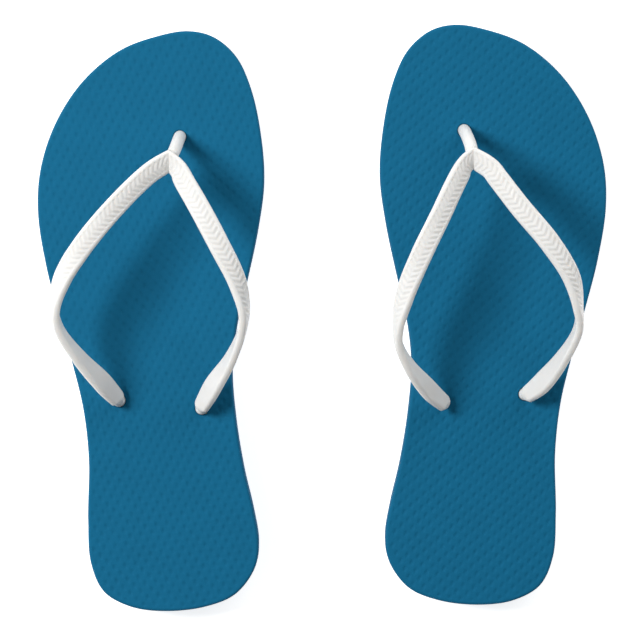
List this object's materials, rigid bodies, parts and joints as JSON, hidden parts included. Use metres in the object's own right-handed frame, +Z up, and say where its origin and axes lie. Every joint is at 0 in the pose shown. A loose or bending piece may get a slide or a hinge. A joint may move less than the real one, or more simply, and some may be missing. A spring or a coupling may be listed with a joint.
{
  "type": "flip flops",
  "caption": "Pair of thong sandals: laminated foam soles that bend at the ball of the foot, and slim moulded Y straps with a round toe post.",
  "frame": {"origin": "on the ground, midway between the two shoes and midway along them", "axes": "+Y towards the toes, +Z up, left shoe on the -X side and right shoe on the +X side"},
  "size_m": [0.2492, 0.2568, 0.0529],
  "materials": {
    "footbed": "matte",
    "midsole": "matte",
    "outsole": "matte",
    "strap": "satin"
  },
  "bodies": {
    "left_rear": {"left_footbed_rear": "footbed", "left_midsole_rear": "midsole", "left_outsole_rear": "outsole", "left_strap": "strap"},
    "left_front": {"left_footbed_front": "footbed", "left_midsole_front": "midsole", "left_outsole_front": "outsole"},
    "right_rear": {"right_footbed_rear": "footbed", "right_midsole_rear": "midsole", "right_outsole_rear": "outsole", "right_strap": "strap"},
    "right_front": {"right_footbed_front": "footbed", "right_midsole_front": "midsole", "right_outsole_front": "outsole"}
  },
  "joints": [
    {"name": "left_sole_bend", "type": "hinge", "parent": "left_rear", "child": "left_front", "pos_m": [-0.0748, 0.0436, 0.01479], "axis": [1, 0, 0], "range_deg": [0, 35], "stiffness_Nm_per_rad": 1.3, "deforming": ["left_strap"]},
    {"name": "right_sole_bend", "type": "hinge", "parent": "right_rear", "child": "right_front", "pos_m": [0.0748, 0.0464, 0.01479], "axis": [1, 0, 0], "range_deg": [0, 35], "stiffness_Nm_per_rad": 1.3, "deforming": ["right_strap"]},
    {"name": "shoes_apart", "type": "slide", "parent": "left_rear", "child": "right_rear", "axis": [1, 0, 0], "range_m": [0, 0.15]}
  ]
}
